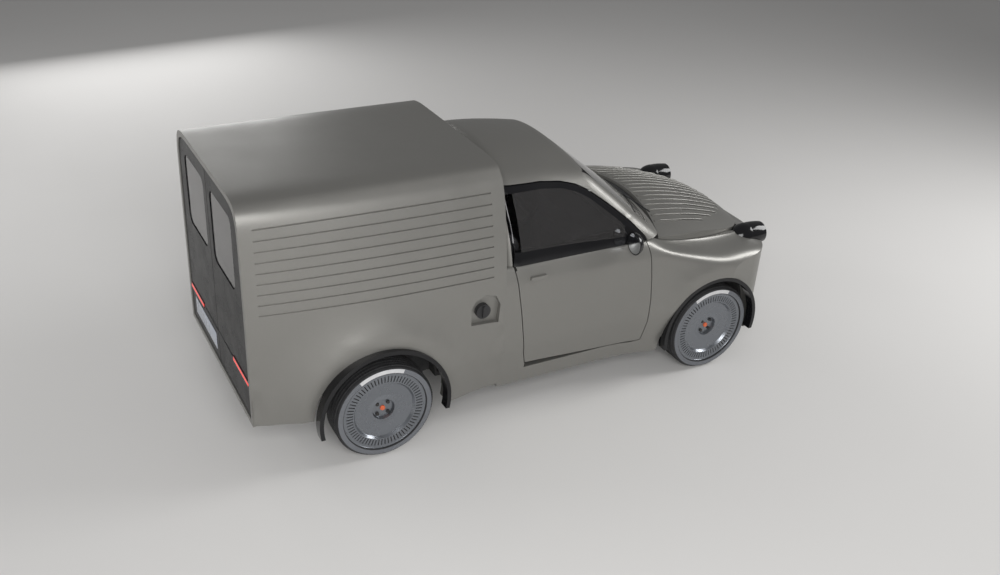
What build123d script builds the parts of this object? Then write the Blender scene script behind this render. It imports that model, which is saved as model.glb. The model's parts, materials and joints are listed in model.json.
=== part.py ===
from build123d import *
from math import cos, hypot, pi, sin, sqrt
import os

# Compact panel van. Millimetres, +X to the nose, +Y to the van's left, +Z up.
# The origin is on the ground, in the middle of the length and width.
# Distances called "along" are measured forward from the rear axle.

# Driving sizes
wheelbase = 2460
rear_overhang = 765
front_overhang = 640
tyre_radius = 320
tyre_width = 184
wheel_centre_y = 757
length = rear_overhang + wheelbase + front_overhang
rear_face = -rear_overhang
nose_tip = wheelbase + front_overhang
rear_axle_x = rear_overhang - length / 2

box_front = 810
box_height = 1728
box_bottom = 335
belt_z = 1088
sill_z = 245
wall = 45
glass_thick = 5
gap = 6
seat_gap = 0.3

arch_z = 335
rear_arch_radius = 425
front_arch = wheelbase - 15
front_arch_radius = 396
arch_trim = 26
flare_out = 50
flare_reach = 300
flare_lip = 72

body_half = 815
rib_count = 9
rib_pitch = 64
rib_top = 1582
rib_depth = 7

cab_wall = 55
belt_room = 715
frame_depth = 60
front_depth = 28
rear_rim = 34
sill_top = 340
rib_height = 9
rib_start = -690
rib_end = 722
trim_thick = 30
roof_split = 600
nose_seam = 2872
firewall = 1935
lamp_along = 2898
lamp_y = 575
lamp_z = 852
rim_radius = 268
slot_count = 68
tow_radius = 8
tow_length = 40

hub_bore = 30.6
hub_radius = 62
stub_radius = 30
stub_end = 766
bearer_face = 654
steer_y = 655
ball_radius = 14
knuckle_low = 215
subframe_top = 285
subframe_half = 445
rail_drop = 50
door_pivot_in = 3
door_pivot_y = 625
pivot_radius = 2.5
ridge_count = 17
ridge_pitch = 62
ridge_width = 20
ridge_rise = 4
flange = 5
flange_depth = 11
bonnet_lean = 0.28
roof_turn = 1200
roof_power = 9
mirror_along = 1702
mirror_y = 843
mirror_z = 1128
mirror_radius = 75
mirror_deep = 54


def at(along):
    return rear_axle_x + along


def blend(points, value):
    # smooth curve through (value, a, b, ...) points, read at one value
    last = len(points) - 2
    i = 0
    while i < last and value > points[i + 1][0]:
        i += 1
    p1, p2 = points[i], points[i + 1]
    p0 = points[i - 1] if i > 0 else p1
    p3 = points[i + 2] if i < last else p2
    span = p2[0] - p1[0]
    s = min(max((value - p1[0]) / span, 0), 1)
    found = []
    for k in range(1, len(p1)):
        m1 = (p2[k] - p0[k]) / (p2[0] - p0[0]) * span
        m2 = (p3[k] - p1[k]) / (p3[0] - p1[0]) * span
        found.append((2 * s**3 - 3 * s**2 + 1) * p1[k] + (s**3 - 2 * s**2 + s) * m1
                     + (3 * s**2 - 2 * s**3) * p2[k] + (s**3 - s**2) * m2)
    return found


def slab(a0, a1, y0, y1, z0, z1):
    block = Solid.make_box(a1 - a0, y1 - y0, z1 - z0)
    return block.moved(Location((at(a0), y0, z0)))


def barrel(z):
    # bulge of the body side over its height
    width = body_half
    if z > 700:
        width -= 115 * ((z - 700) / 900)**2
    if z < 560:
        width -= 46 * ((560 - z) / 250)**1.3
    return width


def flare(along, z):
    # how far the side swells around each wheel arch
    swell = 0
    for centre, radius in ((0, rear_arch_radius), (front_arch, front_arch_radius)):
        r = hypot(along - centre, z - arch_z)
        lip = radius + flare_lip
        if r <= lip:
            swell = flare_out
        elif r < lip + flare_reach:
            swell = max(swell, flare_out * (1 - (r - lip) / flare_reach)**2)
    return swell


def half_width(along, z):
    width = barrel(z)
    if along < box_front:
        back = (box_front - along) / (box_front - rear_face)
        narrow = 692 - 27 * ((z - 500) / 1100)**2
        width -= (barrel(z) - narrow) * back**2.4
    return width + flare(along, z)


def spacing(points):
    # distance along the points, from 0 to 1: shared by all sections of a loft
    runs = [0]
    for (y0, z0), (y1, z1) in zip(points, points[1:]):
        runs.append(runs[-1] + hypot(y1 - y0, z1 - z0))
    return [run / runs[-1] for run in runs]


def loop(half, along, guide):
    # closed section: the left half is mirrored and joined along the bottom
    right_guide = [(-y, z) for y, z in reversed(guide)]
    left = [Vector(at(along), y, z) for y, z in half]
    right = [Vector(at(along), -y, z) for y, z in reversed(half)]
    if half[-1][0] < 1:
        curve = [Edge.make_spline(left + right[1:], parameters=spacing(guide + right_guide[1:]))]
    else:
        curve = [Edge.make_spline(left, parameters=spacing(guide)), Edge.make_line(left[-1], right[0]),
                 Edge.make_spline(right, parameters=spacing(right_guide))]
    return Wire(curve + [Edge.make_line(right[-1], left[0])])


def stations(start, end, step):
    count = max(2, round((end - start) / step))
    return [start + (end - start) * i / count for i in range(count + 1)]


def rounding(across):
    # the box's top corner, from the upright side at 0 to the roof at 1
    return (1 - across**roof_power)**(1 / roof_power)


def cargo_section(along, inset):
    levels = [box_bottom - 90 + 70 * i for i in range(13)]
    half = [(half_width(along, z) - inset, z) for z in levels]
    high = box_height - inset - roof_turn
    for across in (0.0, 0.3, 0.5, 0.65, 0.76, 0.84, 0.9):
        z = roof_turn + high * across
        half.append(((half_width(along, z) - inset) * rounding(across), z))
    for across in (0.9, 0.84, 0.76, 0.65, 0.5, 0.3, 0.0):
        z = roof_turn + high * rounding(across)
        half.append(((half_width(along, min(z, 1650)) - inset) * across, z))
    return half


def cargo_block():
    guide = cargo_section(0, 0)
    sections = [loop(cargo_section(a, 0), a, guide) for a in stations(rear_face, box_front, 72)]
    return Solid.make_loft(sections)


def ruled(halves):
    # plain inner space: mirrored polygons (along, [(y, z), ...]) joined by flat faces
    wires = []
    for along, half in halves:
        ring = half + [(-y, z) for y, z in reversed(half) if y > 0]
        wires.append(Wire.make_polygon([Vector(at(along), y, z) for y, z in ring], close=True))
    return Solid.make_loft(wires, ruled=True)


def side_room(along, z):
    # inner face of the side wall, without the swelling round the arches
    return half_width(along, z) - flare(along, z) - wall


def cargo_room():
    halves = []
    for a in (rear_face - 20, -300, 250, box_front + 20):
        half = [(side_room(max(a, rear_face), z), z) for z in (box_bottom - 120, 560, 1000, 1400)]
        top = box_height - wall
        half += [(side_room(max(a, rear_face), 1600) - 22, top - 90), (540, top - 8), (0, top)]
        halves.append((a, half))
    return ruled(halves)


def cargo_rim(inset, depth):
    # upright slice of the box section, from the rear face forward
    section = cargo_section(rear_face, inset)
    face = make_face(loop(section, rear_face, section))
    return extrude(face, amount=depth, dir=(1, 0, 0))


# Lines that run forward over the cab side and the front wing: along, half width, height
shoulder_line = [(700, 797, 985), (1850, 797, 965), (2110, 822, 890), (2460, 822, 832),
                 (2760, 800, 812), (2900, 780, 795), (3110, 760, 735)]
crown_line = [(700, 787, 1048), (1850, 783, 1035), (2110, 796, 962), (2460, 800, 884),
              (2760, 770, 862), (2900, 745, 840), (3110, 700, 765)]
shelf_line = [(700, 773, 1078), (1850, 760, 1068), (2110, 735, 975), (2460, 706, 902),
              (2760, 680, 876), (2900, 640, 856), (3110, 600, 780)]
ledge_line = [(700, 745, 1088), (1850, 716, 1084), (2110, 664, 990), (2460, 632, 930),
              (2760, 590, 900), (2900, 520, 878), (3110, 400, 795)]


def cab_section(along, inset):
    z_top = blend(shoulder_line, along)[1] - inset
    half = []
    for i in range(11):
        z = sill_z - 25 + (z_top - sill_z + 25) * i / 10
        reach = blend(shoulder_line, along)[0] - 797
        half.append((half_width(along, z) - inset + reach * (i / 10)**2 * 0.4, z))
    for line in (crown_line, shelf_line, ledge_line):
        y, z = blend(line, along)
        half.append((y - inset, z - inset))
    return half


def nose_plan(inset):
    # plan of the front: a wide, full curve that turns into the sides
    tip = at(nose_tip) - inset
    corner = at(nose_tip - 250)
    wide = 905 - inset
    back = at(box_front)
    curve = Spline((tip, 0), (tip - 16, 300), (tip - 62, 520), (tip - 150, 700), (corner - 60, 820),
                   tangents=[(0, 1), (-1, 0.28)])
    rest = Polyline((corner - 60, 820), (corner - 420, wide), (back, wide), (back, 0), (tip, 0))
    half = make_face(curve + rest)
    both = half + mirror(half, Plane.XZ)
    return extrude(both, amount=1400)


def cab_block():
    guide = cab_section(1850, 0)
    sections = [loop(cab_section(a, 0), a, guide) for a in stations(box_front, nose_tip + 10, 76)]
    return Solid.make_loft(sections) & nose_plan(0)


def cab_room():
    # the cabin between the body sides, open above, and the bay ahead of the firewall
    halves = []
    for a in (box_front - 20, firewall + 15):
        widths = [(barrel(z) - cab_wall, z) for z in (sill_z - 60, 560, 960)]
        halves.append((a, widths + [(belt_room, belt_z - 40), (belt_room, belt_z + 60)]))
    cabin = ruled(halves)
    bay = [(firewall + 10, 752), (2740, 745), (2870, 700), (2960, 545), (3040, 300), (3040, 0)]
    plan = [(at(a), y) for a, y in bay] + [(at(a), -y) for a, y in reversed(bay[:-1])]
    room = extrude(make_face(Polyline(*plan, close=True)), amount=600, dir=(0, 0, 1)).moved(Location((0, 0, 190)))
    upper = slab(firewall + 10, 2900, -560, 560, 780, 1120)
    return cabin + room + upper


# Roof and side glass of the cab, as a tunnel that the windscreen cuts off
roof_line = [(700, 1678), (1000, 1680), (1300, 1655), (1500, 1620), (2200, 1480)]
rail_line = [(700, 548, 1555), (1250, 548, 1522), (1500, 548, 1482), (2200, 548, 1400)]
screen_base = (2092, 1127)
screen_rake = 37.3
pillar_round = 120


def tunnel_section(along, inset):
    rail_y, rail_z = blend(rail_line, along)
    roof_z = blend(roof_line, along)[0]
    drop = rail_z - 1555
    half = [(772, 1040), (764, 1100), (748, 1170), (725, 1245), (694, 1320 + drop * 0.4),
            (652, 1402 + drop * 0.7), (605, 1480 + drop * 0.9)]
    half.append((rail_y + 20, rail_z - 18))
    for y in (rail_y - 40, 420, 300, 150, 0):
        half.append((y, roof_z - (roof_z - rail_z - 12) * (y / rail_y)**2.1))
    inner = []
    for y, z in half:
        lean = min(1, max(0, (z - 1040) / 560))
        inner.append((max(y - inset * (1 - 0.45 * lean) * (1 if y > 1 else 0), 0), z - inset * lean))
    return inner


def screen_prism(inset):
    # everything behind the windscreen: a bowed face swept up its rake
    rake = screen_rake * pi / 180
    base_x = at(screen_base[0]) - inset / sin(rake)
    bow = ThreePointArc((base_x - 270, -920), (base_x, 0), (base_x - 270, 920))
    rest = Polyline((base_x - 270, 920), (base_x - 3200, 920), (base_x - 3200, -920), (base_x - 270, -920))
    foot = make_face(bow + rest)
    low = screen_base[1] - 100
    shift = 100 / sin(rake) * cos(rake)
    foot = foot.moved(Location((shift, 0, low)))
    return extrude(foot, amount=1400, dir=(-cos(rake), 0, sin(rake)))


def green_block():
    guide = tunnel_section(1250, 0)
    sections = [loop(tunnel_section(a, 0), a, guide) for a in stations(box_front, 2200, 200)]
    tunnel = Solid.make_loft(sections) & screen_prism(0)
    pillar = [e for e in tunnel.edges() if e.length > 2000 and e.bounding_box().size.Z > 400]
    return fillet(pillar, pillar_round)


def green_room(inset):
    halves = []
    for a in (box_front - 20, 1000, 1500, 2200):
        rail_y, rail_z = blend(rail_line, a)
        roof_z = blend(roof_line, a)[0]
        drop = rail_z - 1555
        half = [(772 - inset, 1020), (744 - inset, 1180), (690 - inset, 1320 + drop * 0.4),
                (600 - inset, 1470 + drop * 0.9 - inset * 0.3), (rail_y - 40, rail_z - inset),
                (300, roof_z - inset - 34), (0, roof_z - inset)]
        halves.append((a, half))
    return ruled(halves) & screen_prism(inset)


def pane(block, cutter, thickness, facing):
    # glass: the skin patch inside the cutter, made thick inward
    patch = block & cutter
    face = max(patch.faces(), key=lambda f: f.center().dot(Vector(*facing)))
    return Solid.thicken(face, -thickness)


def mirrored(shape):
    return mirror(shape, Plane.XZ)


def both_sides(shape):
    return [shape, mirrored(shape)]


def axle_cylinder(along, z, radius, y0, y1):
    disc = Solid.make_cylinder(radius, y1 - y0, Plane(origin=(at(along), y0, z), z_dir=(0, 1, 0)))
    return disc


def write(name, *pieces):
    solids = []
    for piece in pieces:
        solids += piece.solids()
    shape = solids[0] if len(solids) == 1 else Compound(children=solids)
    export_step(shape, "parts/" + name + ".step")
    box = shape.bounding_box()
    print("%-22s %d solids, %.1f x %.1f x %.1f" % (name, len(solids), *box.size))


def largest(shape, count=1):
    solids = sorted(shape.solids(), key=lambda s: -s.volume)[:count]
    return solids[0] if count == 1 else Compound(children=solids)


# Door outlines in side view: along, z
door_rear_line = [(969, 469), (930, 760), (893, 1000), (878, belt_z)]
door_front_line = [(1862, belt_z), (1882, 1000), (1904, 820), (1911, 668), (1903, 500), (1884, 345)]
door_bottom_line = [(1820, 334), (1400, 358), (1100, 378), (990, 384)]
window_top_line = [(866, 1534), (1140, 1526), (1290, 1506), (1400, 1474), (1480, 1432), (1560, 1374),
                   (1650, 1304), (1740, 1226), (1845, 1118)]
glass_line = [(890, 1174), (880, 1496), (1140, 1494), (1290, 1474), (1390, 1440), (1470, 1396),
              (1550, 1334), (1640, 1260), (1690, 1212), (1694, 1140), (1300, 1164)]


def grown(points, amount):
    # the same outline pushed outward
    face = offset(make_face(Polyline(*points, close=True)), amount, kind=Kind.INTERSECTION)
    return face


def side_cut(points, amount, side, y_in=400, y_out=1000):
    face = grown([(at(a), z) for a, z in points], amount) if amount else make_face(
        Polyline(*[(at(a), z) for a, z in points], close=True))
    face = Plane.XZ * face
    return extrude(face.moved(Location((0, side * y_in, 0))), amount=y_out - y_in, dir=(0, side, 0))


flange_line = [(700, 300)] + [(a + flange_depth, z) for a, z in
                              [(969, 469)] + door_rear_line[1:-1] + [(878, belt_z), (866, 1534)]] + [(700, 1600)]
door_lower = door_rear_line + door_front_line + door_bottom_line
window_outline = [(878, belt_z)] + window_top_line + [(1862, belt_z)]
door_whole = door_rear_line + window_top_line + door_front_line + door_bottom_line


def cut_arches(piece, centre, radius):
    return piece - axle_cylinder(centre, arch_z, radius, -1000, 1000)


# Bonnet: a crowned sheet with a turned-down edge
bonnet_centre = [(1900, 1136), (2040, 1128), (2200, 1112), (2460, 1074), (2700, 1013), (2850, 962),
                 (2975, 897), (3100, 800)]
bonnet_crown = 250
bonnet_thick = 20
bonnet_skirt = 58
bonnet_edge = [(2052, 646), (2140, 645), (2300, 634), (2440, 616), (2600, 592), (2720, 564),
               (2820, 522), (2900, 450), (2950, 345), (2972, 200), (2980, 0)]
bonnet_back = 2124
bonnet_bow = 98
lean_z = 930


def bonnet_z(along, y):
    return blend(bonnet_centre, along)[0] - bonnet_crown * (y / 1000)**2


def crowned_sheet(low, thick, start=1900, end=3060):
    sections = []
    for a in stations(start, end, 90):
        top = [Vector(at(a), y, bonnet_z(a, y) - low) for y in range(-750, 751, 150)]
        under = [Vector(v.X, v.Y, v.Z - thick) for v in reversed(top)]
        even = [i / (len(top) - 1) for i in range(len(top))]
        sections.append(Wire([Edge.make_spline(top, parameters=even), Edge.make_line(top[-1], under[0]),
                              Edge.make_spline(under, parameters=even), Edge.make_line(under[-1], top[0])]))
    return Solid.make_loft(sections)


def pushed(points, amount):
    # open outline moved outward by its own local normals
    moved = []
    for i, (x, y) in enumerate(points):
        x0, y0 = points[max(i - 1, 0)]
        x1, y1 = points[min(i + 1, len(points) - 1)]
        run = hypot(x1 - x0, y1 - y0)
        moved.append((x - (y1 - y0) / run * amount, y + (x1 - x0) / run * amount))
    return moved


def bonnet_plan(grow, z0=600, height=700):
    # half outline, then its mirror image: the edge round the front and the bowed back
    left = [(at(a), y) for a, y in bonnet_edge]
    whole = left + [(x, -y) for x, y in reversed(left[:-1])]
    front = pushed(whole, grow)
    back = [(at(bonnet_back - bonnet_bow * (y / 640)**2) - grow, y) for y in range(-640, 641, 160)]
    corner = front[0][1]
    back[0], back[-1] = (back[0][0], -corner), (back[-1][0], corner)
    front[0], front[-1] = back[-1], back[0]
    face = make_face(Spline(*front) + Spline(*back)).moved(Location((bonnet_lean * (z0 - lean_z), 0, z0)))
    return extrude(face, amount=height * hypot(1, bonnet_lean), dir=(bonnet_lean, 0, 1))


def ridge_plan():
    # lengthwise strips, cut off at the front along a shallow curve
    strips = []
    for i in range(ridge_count):
        y = (i - (ridge_count - 1) / 2) * ridge_pitch
        end = 2610 - 300 * (y / 500)**2
        strips.append(slab(1950, end, y - ridge_width / 2, y + ridge_width / 2, 700, 1300))
    return strips


def rib_cutter(z):
    # level strip whose inner edge follows the body side at this height
    turned = rounding(max(z - roof_turn, 0) / (box_height - roof_turn))
    reach = [(at(a), -half_width(a, z) * turned + rib_depth) for a in stations(rib_start, rib_end, 100)]
    edge = Spline(*reach)
    rest = Polyline(reach[-1], (reach[-1][0], -1000), (reach[0][0], -1000), reach[0])
    strip = make_face(edge + rest)
    return extrude(strip, amount=rib_height).moved(Location((0, 0, z - rib_height / 2)))


def rear_window(sign, inset):
    shape = RectangleRounded(436 - 2 * inset, 458 - 2 * inset, 60 - inset)
    return Plane.YZ * (Pos(sign * 287, 1362) * shape)


def make_cargo():
    outer, room = cargo_block(), cargo_room()
    shell = outer - room
    body = shell & slab(rear_face + frame_depth, box_front - front_depth, -1000, 1000, box_bottom, 2000)
    write("cargo_roof", body & slab(rear_face, box_front, -roof_split, roof_split, 1400, 2000))
    side = body & slab(rear_face, box_front, -1000, -roof_split, 0, 2000)
    side = cut_arches(side, 0, rear_arch_radius)
    side = largest(side - slab(300, 1000, -1000, 0, 0, sill_top))
    side = side - [rib_cutter(rib_top - rib_pitch * i) for i in range(rib_count)]
    write("cargo_side_left", mirrored(side))
    recess_face = make_face(Polyline((at(572), 772), (at(758), 758), (at(770), 880), (at(740), 940),
                                     (at(670), 962), (at(600), 930), (at(572), 880), close=True))
    recess = extrude((Plane.XZ * recess_face).moved(Location((0, -780, 0))), amount=200, dir=(0, -1, 0))
    write("cargo_side_right", side - recess)
    cap = axle_cylinder(654, 852, 48, -812, -780 - seat_gap) + slab(646, 662, -822, -812, 815, 889)
    write("filler_cap", cap)
    front = outer & slab(box_front - front_depth, box_front, -1000, 1000, sill_top, 2000)
    write("cargo_front_wall", front)
    tail = outer & slab(rear_face, rear_face + frame_depth, -1000, 1000, box_bottom, 2000)
    rim = cargo_rim(rear_rim, frame_depth + 1) & slab(rear_face, box_front, -1000, 1000, box_bottom + rear_rim, 2000)
    tow = Solid.make_cylinder(tow_radius, tow_length + 1,
                              Plane(origin=(at(rear_face) - 1, -430, box_bottom + 17), z_dir=(1, 0, 0)))
    pivots = [upright(rear_face + door_pivot_in, sign * door_pivot_y, pivot_radius, box_bottom + rear_rim - 2,
                      box_bottom + rear_rim + gap - seat_gap) for sign in (1, -1)]
    write("rear_frame", tail - rim - tow + pivots)
    leaves = cargo_rim(rear_rim + gap, 47) - cargo_rim(0, 5)
    leaves = leaves & slab(rear_face, box_front, -1000, 1000, box_bottom + rear_rim + gap, 2000)
    for side_name, sign in (("left", 1), ("right", -1)):
        y0, y1 = (gap / 2, 900) if sign > 0 else (-900, -gap / 2)
        leaf = leaves & slab(rear_face, rear_face + 60, y0, y1, 0, 2000)
        hole = extrude(rear_window(sign, 0).moved(Location((at(rear_face), 0, 0))), amount=80)
        glass = extrude(rear_window(sign, seat_gap), amount=glass_thick)
        lamp = slab(rear_face + 1, rear_face + 11, sign * 490 - 153, sign * 490 + 153, 583, 623)
        slot = slab(rear_face - 1, rear_face + 11.3, sign * 490 - 153.3, sign * 490 + 153.3, 582.7, 623.3)
        write("rear_door_" + side_name, leaf - hole - slot)
        write("rear_glass_" + side_name, glass.moved(Location((at(rear_face) + 10, 0, 0))))
        write("rear_lamp_" + side_name, lamp)
    return outer, room


def make_cab(cargo, cargo_space):
    outer, room = cab_block(), cab_room()
    green = green_block()
    shell = outer - room
    low = slab(box_front, nose_tip, -1000, 1000, 0, sill_top)
    sill = shell & low & slab(box_front, 2040, -1000, 1000, 0, sill_top)
    sill = sill - axle_cylinder(front_arch, arch_z, front_arch_radius, -1000, 1000)
    sill_back = (cargo & slab(430, box_front, -1000, 1000, 0, sill_top)) - cargo_space
    sill_back = sill_back - axle_cylinder(0, arch_z, rear_arch_radius, -1000, 1000)
    for sign in (1, -1):
        sill = sill - side_cut(door_whole, gap, sign)
    write("side_sills", sill, sill_back)
    sides = shell & slab(box_front, firewall, -1000, -600, sill_top, belt_z)
    panel = largest(sides & side_cut(door_lower, 0, -1)) - side_cut(flange_line, 0, -1, 400, 778)
    handle = Solid.make_box(118, 26, 24).moved(Location((at(973), -818, 996)))
    handle = fillet(handle.edges().filter_by(Axis.Y), 11)
    panel = panel + handle
    half = green & slab(box_front, 2300, -1000, 0, belt_z, 2000)
    trim = (half & side_cut(window_outline, 0, -1)) - green_room(trim_thick) - side_cut(glass_line, 0, -1)
    trim = trim - (green_room(flange) & side_cut(flange_line, 0, -1))
    trim = largest(trim) + make_mirror()
    glass = pane(half, side_cut(glass_line, 12, -1), glass_thick, (0, -1, 0))
    glass = largest(glass & side_cut(glass_line, -seat_gap, -1))
    for name, piece in (("door", panel), ("door_trim", trim), ("door_glass", glass)):
        write(name + "_right", piece)
        write(name + "_left", mirrored(piece))
    frame = (green & slab(box_front, 2300, -1000, 1000, belt_z, 2000)) - green_room(wall)
    strip = sides & slab(box_front, 990, -1000, 0, sill_top, belt_z)
    frame = frame + strip + mirrored(strip)
    for sign in (1, -1):
        frame = frame - side_cut(door_whole, gap, sign)
    screen_face = Plane.YZ * make_face(Polyline((-640, 1140), (-500, 1520), (-250, 1556), (0, 1566), (250, 1556),
                                                (500, 1520), (640, 1140), close=True))
    hole = extrude(screen_face.moved(Location((at(1380), 0, 0))), amount=900)
    write("cab_frame", largest(frame - hole))
    inside = extrude(offset(screen_face, -seat_gap).moved(Location((at(1380), 0, 0))), amount=900)
    around = extrude(offset(screen_face, 12).moved(Location((at(1380), 0, 0))), amount=900)
    write("windscreen", largest(pane(green, around, glass_thick, (1, 0, 0)) & inside))
    front = shell - slab(box_front - 10, 2060, -664, 664, 0, 1500) - bonnet_plan(gap)
    front = front - axle_cylinder(front_arch, arch_z, front_arch_radius, -1000, 1000)
    wing = (front & slab(1860, nose_seam, -1000, -300, 0, 2000)) - side_cut(door_whole, gap, -1)
    wing = wing - slab(1860, 2100, -1000, 0, 0, sill_top)
    wing = largest(wing - lamp_pod(-1, 0.6))
    write("wing_right", wing)
    write("wing_left", mirrored(wing))
    nose = front & slab(nose_seam, nose_tip + 20, -1000, 1000, 0, 2000)
    nose = nose - [lamp_pod(sign, 0.6) for sign in (1, -1)]
    opening = extrude(grille_shape(0).moved(Location((at(2700), 0, 0))), amount=600)
    write("nose_panel", largest(nose - opening))
    bars = (shell & extrude(grille_shape(seat_gap).moved(Location((at(2700), 0, 0))), amount=600))
    bars = largest(bars & slab(2850, nose_tip, -1000, 1000, 0, 1000))
    slots = [slab(2800, nose_tip + 10, -400, 400, 470 + 28 * i, 482 + 28 * i) for i in range(4)]
    write("grille", bars - slots)
    write("headlamp_pods", *[largest(lamp_pod(sign, 0) - bonnet_plan(gap)) for sign in (1, -1)])
    write("headlamp_lenses", *[lamp_lens(sign) for sign in (1, -1)])
    plan = bonnet_plan(0)
    sheet = crowned_sheet(0, bonnet_thick) & plan
    skirt = (crowned_sheet(0, bonnet_skirt) & plan) - bonnet_plan(-16)
    raised = crowned_sheet(-ridge_rise, ridge_rise + 8) & bonnet_plan(-18)
    write("bonnet", sheet + skirt + [raised & strip for strip in ridge_plan()])


def grille_shape(inset):
    shape = RectangleRounded(900 - 2 * inset, 150 - 2 * inset, 50 - inset)
    return Plane.YZ * (Pos(0, 520) * shape)


def make_mirror():
    # round dish with its flat glass to the rear, on an arm from the corner of the door
    crown = ThreePointArc((0, mirror_radius), (mirror_deep * 0.72, mirror_radius * 0.7), (mirror_deep, 0))
    dish = revolve(make_face(crown + Polyline((mirror_deep, 0), (0, 0), (0, mirror_radius))), Axis.X)
    dish = dish.moved(Location((at(mirror_along), -mirror_y, mirror_z)))
    arm = slab(mirror_along + 8, mirror_along + 36, 10 - mirror_y, -726, mirror_z - 31, mirror_z - 7)
    return dish + arm


def lamp_pod(sign, grow):
    back, front, high = -148 - grow, 128 + grow, 86 + grow
    bulge = ThreePointArc((back, 0), (-100 - grow * 0.7, 60 + grow * 0.7), (0, high))
    brow = ThreePointArc((0, high), (70, 84 + grow), (front, 76 + grow))
    body = revolve(make_face(bulge + brow + Polyline((front, 76 + grow), (front, 0), (back, 0))), Axis.X)
    if not grow:
        body = body - Solid.make_cylinder(68.3, 40, Plane(origin=(116, 0, 0), z_dir=(1, 0, 0)))
    return body.moved(Location((at(lamp_along), sign * lamp_y, lamp_z)))


def lamp_lens(sign):
    arc = ThreePointArc((130, 0), (127, 36), (118, 68))
    face = make_face(arc + Polyline((118, 68), (116.3, 68), (116.3, 0), (130, 0)))
    return revolve(face, Axis.X).moved(Location((at(lamp_along), sign * lamp_y, lamp_z)))


def tub(along, radius, y_in, inner_y, sign, limit):
    # half-round wheelhouse, closed on its inner side
    spans = [(y_in, limit), (inner_y, limit + 10)]
    if sign < 0:
        spans = [(-b, -a) for a, b in spans]
    shell = axle_cylinder(along, arch_z, radius + 16, *spans[0])
    shell = shell & slab(along - 600, along + 600, -1000, 1000, box_bottom, 1000)
    return shell - axle_cylinder(along, arch_z, radius, *spans[1])


def make_underbody(cargo):
    floor_z = box_bottom + 30
    floor = slab(rear_face + frame_depth, box_front - front_depth, -632, 632, box_bottom, floor_z)
    floor = floor + slab(box_front - 70, firewall, -632, 632, box_bottom - 12, box_bottom)
    floor = floor + slab(box_front + 2, firewall, -705, 705, box_bottom - 12, box_bottom)
    for sign in (1, -1):
        floor = floor + slab(rear_face + 80, firewall, *span(360, 430, sign), box_bottom - rail_drop, box_bottom)
        floor = floor - axle_cylinder(0, arch_z, rear_arch_radius, *((546, 1000) if sign > 0 else (-1000, -546)))
        floor = floor + tub(0, rear_arch_radius, 530, 546, sign, 632)
    write("floor_pan", floor)
    fore = slab(firewall, firewall + 30, -640, 640, box_bottom - 50, 770)
    fore = fore + slab(firewall, firewall + 30, -550, 550, 760, 1000)
    for sign in (1, -1):
        y2 = 380 if sign > 0 else -452
        fore = fore - axle_cylinder(front_arch, arch_z, front_arch_radius + 4, *((452, 1000) if sign > 0 else (-1000, -452)))
        fore = fore + tub(front_arch, front_arch_radius, 452, 466, sign, 692)
        fore = fore + slab(firewall, 2900, y2, y2 + 72.5, box_bottom, box_bottom + 80)
    cross = slab(2880, 2918, -560, 560, box_bottom + 10, box_bottom + 120)
    write("front_structure", (fore + cross) - slab(2000, 2900, -1000, 1000, 780, 1200))
    write("drive_unit", slab(2150, 2740, -340, 340, subframe_top + seat_gap, 800))


def span(y0, y1, sign):
    # the same stretch across on either side of the van
    return (y0, y1) if sign > 0 else (-y1, -y0)


def upright(along, y, radius, z0, z1):
    return Solid.make_cylinder(radius, z1 - z0, Plane(origin=(at(along), y, z0), z_dir=(0, 0, 1)))


def make_axles():
    hub_z = tyre_radius
    beam = axle_cylinder(0, hub_z - 80, 30, -560, 560)
    for sign in (1, -1):
        beam = beam + axle_cylinder(0, hub_z, 84, *span(552, bearer_face, sign))
        beam = beam + axle_cylinder(0, hub_z, stub_radius, *span(552, stub_end, sign))
        beam = beam + slab(-40, 420, *span(400, 460, sign), 225, 270)
        beam = beam + slab(350, 420, *span(400, 430, sign), 225, box_bottom - rail_drop - seat_gap)
    write("rear_axle", beam)
    frame = slab(2300, 2620, -subframe_half, subframe_half, subframe_top - 45, subframe_top)
    for sign in (1, -1):
        for along in (2310, 2570):
            frame = frame + slab(along, along + 40, *span(390, 430, sign), subframe_top - 1, box_bottom - seat_gap)
        frame = frame + slab(wheelbase - 40, wheelbase + 40, *span(300, 400, sign), 190, subframe_top - 40)
        frame = frame + slab(wheelbase - 32, wheelbase + 32, *span(300, steer_y, sign), 190, knuckle_low - 7)
        frame = frame + upright(wheelbase, sign * steer_y, ball_radius + 12, 190, knuckle_low - 7)
        frame = frame + upright(wheelbase, sign * steer_y, ball_radius, 195, knuckle_low - seat_gap)
    write("front_subframe", frame)
    for name, sign in (("left", 1), ("right", -1)):
        knuckle = slab(wheelbase - 40, wheelbase + 40, *span(604, bearer_face, sign), knuckle_low, 430)
        knuckle = knuckle + upright(wheelbase, sign * steer_y, ball_radius + 8, knuckle_low, 238)
        knuckle = knuckle + axle_cylinder(wheelbase, hub_z, stub_radius, *span(640, stub_end, sign))
        write("knuckle_" + name, knuckle)


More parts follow.
